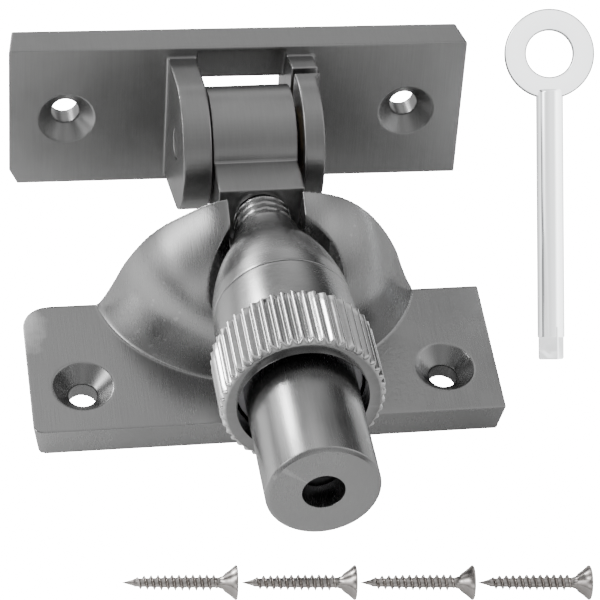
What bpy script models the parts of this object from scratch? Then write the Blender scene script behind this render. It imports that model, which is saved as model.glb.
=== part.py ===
"""Lockable sash window fastener of the Brighton pattern, with its key and four wood screws.

Scene frame: metres, +Z up. The keeper plate lies on z = 0, its long side along X, its far edge
at +Y. The swing arm comes from the hinge at +Y and lies in the keeper's cup, and the knob points
to -Y. Left is -X and right is +X. All dimensions are millimetres, scaled once in new_object().
"""

import math

import bmesh
import bpy
import numpy as np

MM = 0.001
LATHE_SEGMENTS = 40
PIN_SEGMENTS = 32
CROSS_SEGMENTS = 20
CLEAR = 1.0  # how far most cutters run past the metal they cut


# ---- frames

class Frame:
    """A local frame: an origin and three unit directions."""

    def __init__(self, origin, x_dir, y_dir, z_dir):
        self.origin = np.array(origin, float)
        self.x_dir = np.array(x_dir, float)
        self.y_dir = np.array(y_dir, float)
        self.z_dir = np.array(z_dir, float)

    def at(self, x, y, z):
        return self.origin + self.x_dir * x + self.y_dir * y + self.z_dir * z

    def moved(self, x, y, z):
        return Frame(self.at(x, y, z), self.x_dir, self.y_dir, self.z_dir)


X_DIR, Y_DIR, Z_DIR = (1, 0, 0), (0, 1, 0), (0, 0, 1)
WORLD = Frame((0, 0, 0), X_DIR, Y_DIR, Z_DIR)

# knob axis: points to -Y and rises outward; z of KNOB is the "station", positive outward
AXIS_X, AXIS_Z = 0.2, 22.37
AXIS_TILT = math.radians(8.3)
KNOB_OUT = np.array([0.0, -math.cos(AXIS_TILT), math.sin(AXIS_TILT)])
KNOB_UP = np.array([0.0, math.sin(AXIS_TILT), math.cos(AXIS_TILT)])
KNOB = Frame((AXIS_X, 0, AXIS_Z), X_DIR, KNOB_UP, KNOB_OUT)
KNOB_SIDE = Frame(KNOB.origin, KNOB_OUT, KNOB_UP, X_DIR)

# hinge pin: along X
PIN_Y, PIN_Z, PIN_RADIUS, PIN_BORE_RADIUS = 27.2, 20.43, 2.2, 2.29
HINGE = Frame((0, PIN_Y, PIN_Z), Y_DIR, Z_DIR, X_DIR)

# cross pin: through the swing arm and the stud, square to the knob axis
CROSS_STATION = -18.3
CROSS_PIN_RADIUS, CROSS_BORE_RADIUS = 1.05, 1.35
CROSS = Frame(KNOB.at(0, 0, CROSS_STATION), KNOB_OUT, X_DIR, KNOB_UP)

# bracket plate: origin on its lower front edge, y up the plate, z out of its front face
BRACKET_LEAN = math.radians(12.0)  # from the vertical, away from the keeper
PIN_FROM_FACE, PIN_FROM_EDGE = 9.8, 13.0  # from the plate's front face and lower edge
PLATE_UP = np.array([0.0, math.sin(BRACKET_LEAN), math.cos(BRACKET_LEAN)])
PLATE_OUT = np.array([0.0, -math.cos(BRACKET_LEAN), math.sin(BRACKET_LEAN)])
PLATE_ORIGIN = HINGE.origin - PIN_FROM_FACE * PLATE_OUT - PIN_FROM_EDGE * PLATE_UP
PLATE = Frame(PLATE_ORIGIN, X_DIR, PLATE_UP, PLATE_OUT)
PLATE_SIDE = Frame(PLATE_ORIGIN, PLATE_OUT, PLATE_UP, X_DIR)
PLATE_TOP = Frame(PLATE_ORIGIN, PLATE_OUT, X_DIR, PLATE_UP)


# ---- outlines and skins (a skin is a pair: points, faces)

def polar(radius, angle):
    return radius * math.cos(angle), radius * math.sin(angle)


def circle(radius, segments, phase=0.0):
    return [polar(radius, phase + 2 * math.pi * j / segments) for j in range(segments)]


def rectangle(x0, x1, y0, y1):
    return [(x0, y0), (x1, y0), (x1, y1), (x0, y1)]


def rounded_rectangle(x0, x1, y0, y1, radii, steps=5):
    """Counter-clockwise; radii for the corners (x0,y0), (x1,y0), (x1,y1), (x0,y1)."""
    # corner, direction of the inside, start angle of the arc
    corners = [
        (x0, y0, 1, 1, math.pi), (x1, y0, -1, 1, 1.5 * math.pi),
        (x1, y1, -1, -1, 0.0), (x0, y1, 1, -1, 0.5 * math.pi),
    ]
    outline = []
    for (x, y, inside_x, inside_y, start), radius in zip(corners, radii):
        for i in range(steps + 1):
            arc_x, arc_y = polar(radius, start + 0.5 * math.pi * i / steps)
            outline.append((x + inside_x * radius + arc_x, y + inside_y * radius + arc_y))
    return outline


def loft(rings, wrap=False):
    """Skin over closed loops of equal length; wrap joins the last to the first, else both cap."""
    n = len(rings[0])
    points = [point for ring in rings for point in ring]
    faces = []
    for i in range(len(rings) if wrap else len(rings) - 1):
        a, b = i * n, ((i + 1) % len(rings)) * n
        for j in range(n):
            k = (j + 1) % n
            faces.append((a + j, a + k, b + k, b + j))
    if not wrap:
        faces.append(tuple(range(n - 1, -1, -1)))
        faces.append(tuple(range((len(rings) - 1) * n, len(rings) * n)))
    return points, faces


def stack(frame, sections, wrap=False):
    """Loft of sections (z, outline in x and y) of a frame."""
    return loft([[frame.at(x, y, z) for x, y in outline] for z, outline in sections], wrap)


def prism(frame, outline, z0, z1):
    return stack(frame, [(z0, outline), (z1, outline)])


def lathe(frame, profile, segments=LATHE_SEGMENTS, wrap=False, phase=0.0):
    """Turn a profile of (z, radius) about the frame's z; wrap makes a tube of a closed profile."""
    return stack(frame, [(z, circle(radius, segments, phase)) for z, radius in profile], wrap)


def cylinder(frame, z0, z1, radius, segments):
    return lathe(frame, [(z0, 0.0), (z0, radius), (z1, radius), (z1, 0.0)], segments)


def chamfered_rod(frame, z0, z1, radius, chamfer0, chamfer1, segments):
    profile = [
        (z0, 0.0), (z0, radius - chamfer0), (z0 + chamfer0, radius),
        (z1 - chamfer1, radius), (z1, radius - chamfer1), (z1, 0.0),
    ]
    return lathe(frame, profile, segments)


def bevelled_slab(frame, outline, centre, bevel, z0, z1, ends_stay=False):
    """Prism with its two flat faces drawn in towards centre; ends_stay holds the end points."""
    outer = np.array(outline)
    reach = np.linalg.norm(outer - centre, axis=1)
    inner = centre + (outer - centre) * (1 - bevel / reach)[:, None]
    if ends_stay:
        inner[0], inner[-1] = outer[0], outer[-1]
    return stack(frame, [(z0, inner), (z0 + bevel, outer), (z1 - bevel, outer), (z1, inner)])


def threaded(frame, start, turns, pitch, crest, root, segments, before, after, taper=0.0):
    """Thread and plain ends as one skin; before and after are profiles of (z, radius)."""
    rows_per_turn = 4
    fade_turns = 0.6  # the thread grows and dies over this many turns
    steepness, root_share = 1.6, 0.3  # shape the wave into flat crests and roots
    sections = [(z, circle(radius, segments)) for z, radius in before]
    for row in range(turns * rows_per_turn + 1):
        turn = row / rows_per_turn
        fade = min(1.0, turn / fade_turns, (turns - turn) / fade_turns)
        shrink = 1.0 - taper * (turn / turns) ** 3
        outline = []
        for j in range(segments):
            # the phase depends on height and angle, so that the crest winds round the axis
            wave = 0.5 - 0.5 * math.cos(2 * math.pi * (turn - j / segments))
            lift = fade * min(1.0, max(0.0, steepness * wave - root_share))
            radius = (root + (crest - root) * lift) * shrink
            outline.append(polar(radius, 2 * math.pi * j / segments))
        sections.append((start + pitch * turn, outline))
    sections += [(z, circle(radius, segments)) for z, radius in after]
    return stack(frame, sections)


# ---- objects

def clear_scene():
    for obj in list(bpy.data.objects):
        bpy.data.objects.remove(obj, do_unlink=True)


def new_object(name, skin, material=None, origin=(0, 0, 0)):
    """Object from a skin in millimetres in the scene frame, with its own origin at origin."""
    points, faces = skin
    origin = np.array(origin, float)
    mesh = bpy.data.meshes.new(name)
    mesh.from_pydata([tuple((np.array(p, float) - origin) * MM) for p in points], [], faces)
    bm = bmesh.new()
    bm.from_mesh(mesh)
    bmesh.ops.recalc_face_normals(bm, faces=bm.faces)
    if bm.calc_volume(signed=True) < 0:
        bmesh.ops.reverse_faces(bm, faces=bm.faces)
    bm.to_mesh(mesh)
    bm.free()
    obj = bpy.data.objects.new(name, mesh)
    obj.location = tuple(origin * MM)
    bpy.context.scene.collection.objects.link(obj)
    if material:
        mesh.materials.append(material)
    return obj


def helper(name, skin):
    """Object that combine() uses up."""
    obj = new_object(name, skin)
    obj.hide_render = True
    obj.display_type = "WIRE"
    return obj


def tidy(obj, distance=2e-6):
    """Merge doubled points and drop slivers left by the booleans; distance in metres."""
    bm = bmesh.new()
    bm.from_mesh(obj.data)
    bmesh.ops.remove_doubles(bm, verts=bm.verts, dist=distance)
    bmesh.ops.dissolve_degenerate(bm, dist=distance, edges=bm.edges)
    bmesh.ops.recalc_face_normals(bm, faces=bm.faces)
    bm.to_mesh(obj.data)
    bm.free()


def combine(target, others, operation):
    """Apply one boolean per helper to target and remove the helpers."""
    for other in others:
        modifier = target.modifiers.new(operation.lower(), "BOOLEAN")
        modifier.operation = operation
        modifier.solver = "EXACT"
        modifier.object = other
    bpy.context.view_layer.update()
    graph = bpy.context.evaluated_depsgraph_get()
    mesh = bpy.data.meshes.new_from_object(target.evaluated_get(graph))
    target.modifiers.clear()
    old = target.data
    target.data = mesh
    bpy.data.meshes.remove(old)
    for other in others:
        bpy.data.objects.remove(other, do_unlink=True)
    tidy(target)


def smooth(obj, degrees=32.0):
    for poly in obj.data.polygons:
        poly.use_smooth = True
    obj.data.set_sharp_from_angle(angle=math.radians(degrees))


def smooth_object(name, skin, material, origin, degrees=32.0):
    smooth(new_object(name, skin, material, origin), degrees)


# ---- materials

# name: base colour, roughness
FINISHES = {
    "satin_nickel_plate": ((0.50, 0.50, 0.50), 0.36),
    "satin_nickel_bracket": ((0.48, 0.48, 0.48), 0.38),
    "satin_nickel_arm": ((0.50, 0.50, 0.50), 0.34),
    "cut_thread_steel": ((0.56, 0.56, 0.55), 0.30),
    "polished_nickel_nose": ((0.62, 0.62, 0.61), 0.22),
    "polished_nickel_body": ((0.60, 0.60, 0.60), 0.24),
    "knurled_nickel": ((0.66, 0.66, 0.65), 0.22),
    "satin_nickel_barrel": ((0.58, 0.58, 0.58), 0.26),
    "plain_steel_pin": ((0.42, 0.42, 0.42), 0.40),
    "spring_steel_ring": ((0.30, 0.30, 0.31), 0.35),
    "spring_steel_snap": ((0.32, 0.32, 0.33), 0.35),
    "dark_lock_steel": ((0.22, 0.22, 0.23), 0.42),
    "brass_washer": ((0.65, 0.50, 0.28), 0.35),
    "bright_chrome_shank": ((0.82, 0.83, 0.84), 0.08),
    "bright_chrome_bow": ((0.84, 0.85, 0.86), 0.07),
    "stainless_screw": ((0.55, 0.53, 0.51), 0.28),
}


def metal(name, colour, roughness):
    material = bpy.data.materials.new(name)
    material.use_nodes = True
    shader = material.node_tree.nodes["Principled BSDF"]
    shader.inputs["Base Color"].default_value = (*colour, 1.0)
    shader.inputs["Roughness"].default_value = roughness
    shader.inputs["Metallic"].default_value = 1.0
    material.diffuse_color = (*colour, 1.0)
    return material


# ---- what both plates share

END_DRAFT = 0.8  # the back of each plate is this much shorter at each end
# depth below the face, inset of the ends, inset of the long sides
PLATE_EDGE = [(0.35, 0.0, 0.0), (0.12, 0.06, 0.03), (0.0, 0.2, 0.13)]
CORNER_SHRINK, CORNER_MIN = 0.6, 0.05  # corner radius lost per inset, and its least value
SINK_DEPTH, SCREW_HOLE_RADIUS = 2.1, 2.0
SINK_FLARE = 0.9  # growth of the countersink cutter per mm above the face


def plate_skin(frame, x0, x1, y0, y1, radii, back, face):
    sections = []
    levels = [(back, END_DRAFT, 0.0)] + [(face - depth, ix, iy) for depth, ix, iy in PLATE_EDGE]
    for z, inset_x, inset_y in levels:
        shrink = CORNER_SHRINK * max(inset_x, inset_y)
        corners = [max(radius - shrink, CORNER_MIN) for radius in radii]
        outline = rounded_rectangle(x0 + inset_x, x1 - inset_x, y0 + inset_y, y1 - inset_y, corners)
        sections.append((z, outline))
    return stack(frame, sections)


def countersink(frame, sink_radius, thickness):
    """Cutter for a countersunk hole; the frame's origin is on the plate's face."""
    below = thickness + CLEAR
    profile = [
        (-below, 0.0), (-below, SCREW_HOLE_RADIUS), (-SINK_DEPTH, SCREW_HOLE_RADIUS),
        (0.0, sink_radius), (CLEAR, sink_radius + CLEAR * SINK_FLARE), (CLEAR, 0.0),
    ]
    return helper("csk", lathe(frame, profile))


# ---- keeper: plate with a horseshoe hood, a ball cut flat at the plate's far edge

KEEPER_LENGTH, KEEPER_WIDTH, KEEPER_THICKNESS = 66.4, 22.7, 4.64
KEEPER_CORNERS = (1.2, 0.4, 0.4, 3.6)
KEEPER_HOLE_X, KEEPER_HOLE_Y, KEEPER_SINK_RADIUS = 25.7, -3.46, 4.26
HOOD_RADIUS, HOOD_Y, HOOD_FILLET = 21.45, 15.5, 2.6
HOOD_FLATTEN = 0.94  # the hood's depth along Y against a ball's
HOOD_BASE_Z = 2.0  # the hood starts inside the plate
HOOD_SEGMENTS, FOOT_STEPS, DOME_STEPS = 64, 5, 12
FOOT_INSET, DOME_START = 0.25, 0.5  # foot ends this far in; dome starts this far above it
CUP_RADIUS, SLOT_RADIUS, CUP_TOP = 11.5, 5.15, 22.0
CUP_SHIFT = 1.1  # the cup's wide part lies this far to the right
CUP_SHIFT_RAMP, CUP_SHIFT_FULL = 4.0, 9.0  # the shift grows with the radius up to the full one
CUP_FLARE, CUP_STEPS = 1.02, 24
# station along the knob axis, radius
CUP_STATIONS = [
    (-25.0, SLOT_RADIUS), (-7.4, SLOT_RADIUS), (-6.5, 6.3), (-4.8, 8.3), (-1.5, 11.2),
    (0.0, CUP_RADIUS), (34.0, CUP_RADIUS),
]


def bump(turn, centre, width, height):
    return height * math.exp(-(((turn - centre) / width) ** 2))


def hood_shape(point):
    """Flatten the ball, and make its right shoulder higher and fuller than its left."""
    x, y, z = (float(value) for value in point)
    height = z - KEEPER_THICKNESS
    turn = math.degrees(math.atan2(height, x))  # 0 at the right, 90 straight up
    right = 1.045 + bump(turn, centre=60.0, width=20.0, height=0.055)
    left = (0.985 + bump(turn, centre=106.0, width=15.0, height=0.04)
            + bump(turn, centre=133.0, width=12.0, height=0.02))
    right_share = 1.0 / (1.0 + math.exp((turn - 90.0) / 3.0))
    # no growth up to 1 mm below the plate's face, and all of it 1.5 mm higher
    strength = min(1.0, max(0.0, (height + 1.0) / 1.5))
    grow = 1.0 + (left + (right - left) * right_share - 1.0) * strength
    return x * grow, HOOD_Y + (y - HOOD_Y) * HOOD_FLATTEN, KEEPER_THICKNESS + height * grow


def make_hood():
    profile = [(HOOD_BASE_Z, 0.0), (HOOD_BASE_Z, HOOD_RADIUS + HOOD_FILLET)]
    for i in range(FOOT_STEPS + 1):  # concave foot
        angle = 0.5 * math.pi * i / FOOT_STEPS
        profile.append((KEEPER_THICKNESS + HOOD_FILLET * (1 - math.cos(angle)),
                        HOOD_RADIUS - FOOT_INSET + HOOD_FILLET * (1 - math.sin(angle))))
    start = math.asin((HOOD_FILLET + DOME_START) / HOOD_RADIUS)
    for i in range(DOME_STEPS + 1):
        angle = start + (0.5 * math.pi - start) * i / DOME_STEPS
        radius, height = polar(HOOD_RADIUS, angle)
        profile.append((KEEPER_THICKNESS + height, radius))
    points, faces = lathe(WORLD.moved(0, HOOD_Y, 0), profile, HOOD_SEGMENTS,
                          phase=math.pi / HOOD_SEGMENTS)
    hood = helper("hood", ([hood_shape(point) for point in points], faces))
    far = KEEPER_WIDTH / 2
    far_box = prism(WORLD, rectangle(-40, 40, far, far + 60), -5, 60)
    combine(hood, [helper("far_cut", far_box)], "DIFFERENCE")
    return hood


def cup_outline(radius):
    """Open-topped U: a half circle below the axis and walls that rise to CUP_TOP."""
    if radius > CUP_SHIFT_FULL:
        shift = CUP_SHIFT
    else:
        shift = CUP_SHIFT * (radius - SLOT_RADIUS) / CUP_SHIFT_RAMP
    outline = [(shift - radius * CUP_FLARE, CUP_TOP)]
    for i in range(CUP_STEPS + 1):
        x, y = polar(radius, math.pi + math.pi * i / CUP_STEPS)
        outline.append((shift + x, y))
    outline.append((shift + radius * CUP_FLARE, CUP_TOP))
    return outline


def make_keeper(material):
    half_length, half_width = KEEPER_LENGTH / 2, KEEPER_WIDTH / 2
    plate = plate_skin(WORLD, -half_length, half_length, -half_width, half_width,
                       KEEPER_CORNERS, back=0.0, face=KEEPER_THICKNESS)
    keeper = new_object("keeper", plate, material)
    combine(keeper, [make_hood()], "UNION")
    cup = stack(KNOB, [(station, cup_outline(radius)) for station, radius in CUP_STATIONS])
    cutters = [helper("cup", cup)]
    for side in (-1, 1):
        place = WORLD.moved(side * KEEPER_HOLE_X, KEEPER_HOLE_Y, KEEPER_THICKNESS)
        cutters.append(countersink(place, KEEPER_SINK_RADIUS, KEEPER_THICKNESS))
    combine(keeper, cutters, "DIFFERENCE")
    smooth(keeper)


# ---- hinge bracket: leaning plate with two ears for the pin

BRACKET_LENGTH, BRACKET_HEIGHT, BRACKET_THICKNESS, BRACKET_SHIFT = 66.8, 22.7, 5.4, 0.3
BRACKET_CORNERS = (0.3,) * 4
BRACKET_HOLE_X, BRACKET_HOLE_HEIGHT, BRACKET_SINK_RADIUS = 25.1, 11.1, 4.1
EAR_RADIUS, EAR_ROOT_TOP, EAR_ROOT_LOW = 9.1, 21.0, 0.9
EAR_SINK, EAR_BEVEL, EAR_STEPS = 1.0, 0.35, 16  # EAR_SINK: how far the root goes into the plate
EAR_LEFT = (-10.2, -6.15)
EAR_RIGHT = (7.0, 10.8)
EAR_RIGHT_THIN = 0.9  # the right ear is this much thinner round the pin
THIN_FROM, THIN_FULL = 6.2, 8.0  # from the plate's front face
NOTCH_FROM, NOTCH_TO, NOTCH_BOTTOM, NOTCH_CLEAR = 4.5, 6.4, 16.0, 0.6
CLIP_LENGTH, CLIP_HEIGHT = 1.6, 4.2  # corner cut along X, and its reach up at the cutter's edge
WINDOW_LOW, WINDOW_TOP, WINDOW_GAP = 4.5, 16.75, 0.05
RELIEF_DEPTH, RELIEF_GAP = 1.4, 0.02


def ear_outline():
    """(out, up) from the plate's face round the pin and back, with straight tangents."""
    centre = np.array([PIN_FROM_FACE, PIN_FROM_EDGE])

    def tangent(height):
        """Direction from the root to the pin, and the angle from it to the tangent point."""
        reach = centre - np.array([0.0, height])
        return math.atan2(reach[1], reach[0]), math.pi - math.acos(EAR_RADIUS / math.hypot(*reach))

    first = sum(tangent(EAR_ROOT_TOP))
    base, turn = tangent(EAR_ROOT_LOW)
    last = base - turn
    outline = [(-EAR_SINK, EAR_ROOT_TOP), (0.0, EAR_ROOT_TOP)]
    for i in range(EAR_STEPS + 1):
        outline.append(centre + polar(EAR_RADIUS, first + (last - first) * i / EAR_STEPS))
    return outline + [(0.0, EAR_ROOT_LOW), (-EAR_SINK, EAR_ROOT_LOW)]


def bracket_cutters():
    # the right ear's outer face is thinned towards the pin; outline (out, x)
    outer = EAR_RIGHT[1]
    thin = [
        (THIN_FROM, outer + 0.3), (THIN_FULL, outer - EAR_RIGHT_THIN),
        (22.0, outer - EAR_RIGHT_THIN), (22.0, outer + 2.0), (THIN_FROM, outer + 2.0),
    ]
    # the plate's lower left corner is clipped; outline (x, up)
    end = BRACKET_SHIFT - BRACKET_LENGTH / 2
    clip = [(end - CLEAR, -CLEAR), (end + CLIP_LENGTH, -CLEAR), (end - CLEAR, CLIP_HEIGHT)]
    # notch across the right ear's upper edge; outline (out, up), as for the next two
    notch = rectangle(NOTCH_FROM, NOTCH_TO, NOTCH_BOTTOM, 30.0)
    # window through the plate between the ears, and a sloping relief above it
    x0, x1 = EAR_LEFT[1] + WINDOW_GAP, EAR_RIGHT[0] - WINDOW_GAP
    window = [
        (-BRACKET_THICKNESS - CLEAR, WINDOW_LOW), (2.0, WINDOW_LOW),
        (2.0, WINDOW_TOP), (-BRACKET_THICKNESS - CLEAR, WINDOW_TOP),
    ]
    relief = [
        (-RELIEF_DEPTH, WINDOW_TOP - 1.0), (2.0, WINDOW_TOP - 1.0), (2.0, BRACKET_HEIGHT - 0.2),
        (0.0, BRACKET_HEIGHT - 0.5), (-RELIEF_DEPTH, WINDOW_TOP + 0.4),
    ]
    cutters = [
        helper("thin", prism(PLATE_TOP, thin, -6.0, 32.0)),
        helper("clip", prism(PLATE, clip, -BRACKET_THICKNESS - CLEAR, CLEAR)),
        helper("notch", prism(PLATE_SIDE, notch, EAR_RIGHT[0] - NOTCH_CLEAR, outer + NOTCH_CLEAR)),
        helper("window", prism(PLATE_SIDE, window, x0, x1)),
        helper("relief", prism(PLATE_SIDE, relief, x0 + RELIEF_GAP, x1 - RELIEF_GAP)),
    ]
    for side in (-1, 1):
        place = PLATE.moved(BRACKET_SHIFT + side * BRACKET_HOLE_X, BRACKET_HOLE_HEIGHT, 0)
        cutters.append(countersink(place, BRACKET_SINK_RADIUS, BRACKET_THICKNESS))
    bore = cylinder(HINGE, -14, 14, PIN_BORE_RADIUS, PIN_SEGMENTS)
    return cutters + [helper("pin_bore", bore)]


def make_bracket(material):
    half_length = BRACKET_LENGTH / 2
    plate = plate_skin(PLATE, BRACKET_SHIFT - half_length, BRACKET_SHIFT + half_length,
                       0.0, BRACKET_HEIGHT, BRACKET_CORNERS, back=-BRACKET_THICKNESS, face=0.0)
    bracket = new_object("hinge_bracket", plate, material)
    centre = np.array([PIN_FROM_FACE * 0.5, PIN_FROM_EDGE])
    ears = []
    for name, (x0, x1) in (("ear_l", EAR_LEFT), ("ear_r", EAR_RIGHT)):
        skin = bevelled_slab(PLATE_SIDE, ear_outline(), centre, EAR_BEVEL, x0, x1, ends_stay=True)
        ears.append(helper(name, skin))
    combine(bracket, ears, "UNION")
    combine(bracket, bracket_cutters(), "DIFFERENCE")
    smooth(bracket)


# ---- swing arm: knuckle round the pin and a block that takes the stud

KNUCKLE_RADIUS, KNUCKLE_HALF, KNUCKLE_STEPS = 8.0, 6.0, 34
BLOCK_TOP, BLOCK_BOTTOM, BLOCK_FRONT = 4.2, -4.7, -13.2  # from the axis, and a station
BLOCK_CHAMFER, ARM_BEVEL = 0.35, 0.3
ARM_SOCKET = (-23.0, -5.0, 3.3)  # stations and radius


def make_arm(material):
    pin = HINGE.origin - np.array([0.0, 0.0, AXIS_Z])
    pin_station, pin_height = float(pin @ KNOB_OUT), float(pin @ KNOB_UP)
    first = math.asin((BLOCK_TOP - pin_height) / KNUCKLE_RADIUS)
    last = 2 * math.pi - math.asin((pin_height - BLOCK_BOTTOM) / KNUCKLE_RADIUS)
    # outline (station, up): the block's front, then the knuckle
    outline = [
        (BLOCK_FRONT - BLOCK_CHAMFER, BLOCK_BOTTOM), (BLOCK_FRONT, BLOCK_BOTTOM + BLOCK_CHAMFER),
        (BLOCK_FRONT, BLOCK_TOP - BLOCK_CHAMFER), (BLOCK_FRONT - BLOCK_CHAMFER, BLOCK_TOP),
    ]
    for i in range(KNUCKLE_STEPS + 1):
        x, y = polar(KNUCKLE_RADIUS, first + (last - first) * i / KNUCKLE_STEPS)
        outline.append((pin_station + x, pin_height + y))
    centre = np.array([pin_station + 4.0, pin_height * 0.5])
    skin = bevelled_slab(KNOB_SIDE, outline, centre, ARM_BEVEL, -KNUCKLE_HALF, KNUCKLE_HALF)
    arm = new_object("swing_arm", skin, material, origin=(AXIS_X, PIN_Y, PIN_Z))
    combine(arm, [
        helper("bore", cylinder(HINGE, -12, 12, PIN_BORE_RADIUS, PIN_SEGMENTS)),
        helper("socket", cylinder(KNOB, *ARM_SOCKET, PIN_SEGMENTS)),
        helper("cross", cylinder(CROSS, -9.0, 3.9, CROSS_BORE_RADIUS, CROSS_SEGMENTS)),
    ], "DIFFERENCE")
    smooth(arm)


# ---- hinge pin, its washer and the stud's cross pin

PIN_INSET, PIN_CHAMFER = 0.1, 0.3
WASHER_BORE, WASHER_RADIUS, WASHER_THICKNESS = 2.5, 4.8, 0.3
CROSS_PIN_LOW, CROSS_PIN_HIGH, CROSS_PIN_CHAMFER = -4.4, 3.5, 0.2


def make_hinge_pin(material):
    x0, x1 = EAR_LEFT[0] + PIN_INSET, EAR_RIGHT[1] - EAR_RIGHT_THIN - PIN_INSET
    skin = chamfered_rod(HINGE, x0, x1, PIN_RADIUS, PIN_CHAMFER, PIN_CHAMFER, PIN_SEGMENTS)
    smooth_object("hinge_pin", skin, material, HINGE.origin)


def make_washer(material):
    """Midway in the gap between the knuckle and the right ear."""
    middle = (AXIS_X + KNUCKLE_HALF + EAR_RIGHT[0]) / 2
    x0, x1 = middle - WASHER_THICKNESS / 2, middle + WASHER_THICKNESS / 2
    profile = [(x0, WASHER_BORE), (x0, WASHER_RADIUS), (x1, WASHER_RADIUS), (x1, WASHER_BORE)]
    skin = lathe(HINGE, profile, PIN_SEGMENTS, wrap=True)
    smooth_object("hinge_washer", skin, material, HINGE.origin)


def make_cross_pin(material):
    skin = chamfered_rod(CROSS, CROSS_PIN_LOW, CROSS_PIN_HIGH, CROSS_PIN_RADIUS,
                         CROSS_PIN_CHAMFER, CROSS_PIN_CHAMFER, CROSS_SEGMENTS)
    smooth_object("stud_cross_pin", skin, material, CROSS.origin)


# ---- threaded stud

STUD_CREST, STUD_ROOT, STUD_PITCH, STUD_TURNS = 4.0, 3.3, 1.25, 24
STUD_THREAD_START, STUD_END = -12.85, 29.9
STUD_INNER_END = [(-22.6, 2.6), (-22.2, 3.0), (-13.5, 3.0)]  # station, radius


def make_stud(material):
    thread_end = STUD_THREAD_START + STUD_TURNS * STUD_PITCH
    outer_end = [(thread_end + 0.6, STUD_ROOT), (STUD_END - 0.8, STUD_ROOT), (STUD_END, 2.5)]
    skin = threaded(KNOB, STUD_THREAD_START, STUD_TURNS, STUD_PITCH, STUD_CREST, STUD_ROOT,
                    segments=16, before=STUD_INNER_END, after=outer_end)
    stud = new_object("threaded_stud", skin, material)
    cross = cylinder(CROSS, -6.0, 6.0, CROSS_BORE_RADIUS, CROSS_SEGMENTS)
    combine(stud, [helper("cross", cross)], "DIFFERENCE")
    smooth(stud, 50)


# ---- nose cone and knob body, which share one acorn outline

NOSE_FROM, NOSE_TO, NOSE_EDGE = -7.9, 8.25, 0.12
BODY_FROM, BODY_SHOULDER, ACORN_EDGE = 8.5, 15.5, 0.15
# station, radius: from the small end of the nose to the knurled ring
ACORN = [
    (-7.9, 4.55), (-7.0, 4.75), (-5.6, 5.1), (-4.3, 5.55), (-2.7, 6.45), (-1.1, 7.3), (1.0, 8.1),
    (3.0, 8.7), (5.7, 9.3), (8.25, 9.5), (10.5, 9.65), (13.5, 9.75), (15.5, 9.75),
]
NOSE_STATIONS = (-7.0, -5.6, -4.3, -3.4, -2.4, -1.2, 0.2, 1.8, 3.4, 5.7)
# station, radius: counterbore with a groove, then the clearance bore
NOSE_BORE = [
    (NOSE_TO, 6.3), (5.4, 6.3), (5.4, 7.0), (4.2, 7.0), (4.2, 6.3), (2.2, 6.3),
    (2.2, 4.2), (NOSE_FROM, 4.2),
]
# station, radius: shoulder and outer spigot, bore, then the grooved inner spigot
BODY_REST = [
    (BODY_SHOULDER, 9.7), (BODY_SHOULDER, 8.3), (19.6, 8.3), (20.0, 7.9),
    (20.0, 4.4), (2.5, 4.4),
    (2.5, 5.7), (2.8, 6.0), (4.4, 6.0), (4.4, 5.5), (5.2, 5.5), (5.2, 6.0), (BODY_FROM, 6.0),
]


def acorn(station, drop=0.0):
    """Profile point (station, radius) on the acorn outline, or drop inside it."""
    return station, float(np.interp(station, *zip(*ACORN))) - drop


def make_nose(material):
    outer = [acorn(NOSE_FROM, NOSE_EDGE), acorn(NOSE_FROM + NOSE_EDGE)]
    outer += [acorn(station) for station in NOSE_STATIONS]
    outer += [(NOSE_TO - ACORN_EDGE, acorn(NOSE_TO)[1]), acorn(NOSE_TO, ACORN_EDGE)]
    smooth_object("nose_cone", lathe(KNOB, outer + NOSE_BORE, wrap=True), material, KNOB.origin)


def make_body(material):
    outer = [acorn(BODY_FROM, ACORN_EDGE)]
    for station in (BODY_FROM + ACORN_EDGE, 10.5, 13.5, BODY_SHOULDER - ACORN_EDGE):
        outer.append(acorn(station))
    smooth_object("knob_body", lathe(KNOB, outer + BODY_REST, wrap=True), material, KNOB.origin)


# ---- knurled ring: straight ribs outside, plain bore

RING_FROM, RING_TO, RING_BORE = 15.8, 26.15, 8.67
RIB_CREST, RIB_ROOT, RIBS = 11.0, 10.42, 48
RING_SEGMENTS = RIBS * 4
RIB_SKEW = 0.18  # part of a segment by which the points of each rib are shifted
RING_END_RADIUS = RIB_ROOT - 0.2
RING_CHAMFER_INNER, RING_CHAMFER_OUTER = 0.45, 0.5  # lengths at the low and the high station


def rib_outline(crest, root):
    outline = []
    for j in range(RING_SEGMENTS):
        skew = RIB_SKEW if j % 2 == 0 else -RIB_SKEW
        radius = crest if j % 4 < 2 else root
        outline.append(polar(radius, 2 * math.pi * (j + skew) / RING_SEGMENTS))
    return outline


def make_ring(material):
    ribs = rib_outline(RIB_CREST, RIB_ROOT)
    end = rib_outline(RING_END_RADIUS, RING_END_RADIUS)
    bore = circle(RING_BORE, RING_SEGMENTS)
    sections = [
        (RING_FROM, end), (RING_FROM + RING_CHAMFER_INNER, ribs),
        (RING_TO - RING_CHAMFER_OUTER, ribs), (RING_TO, end), (RING_TO, bore), (RING_FROM, bore),
    ]
    skin = stack(KNOB, sections, wrap=True)
    smooth_object("knurled_ring", skin, material, KNOB.origin, degrees=30)


# ---- lock barrel, with a groove for its circlip and a keyhole in its outer end

BARREL_RADIUS, BARREL_FROM, BARREL_TO = 7.47, 20.4, 42.6
BARREL_BORE, BARREL_FLOOR, KEYHOLE_RADIUS = 4.6, 38.6, 2.76
BARREL_GROOVE_FROM, BARREL_GROOVE_TO, BARREL_GROOVE_RADIUS = 21.6, 22.9, 6.85
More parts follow.
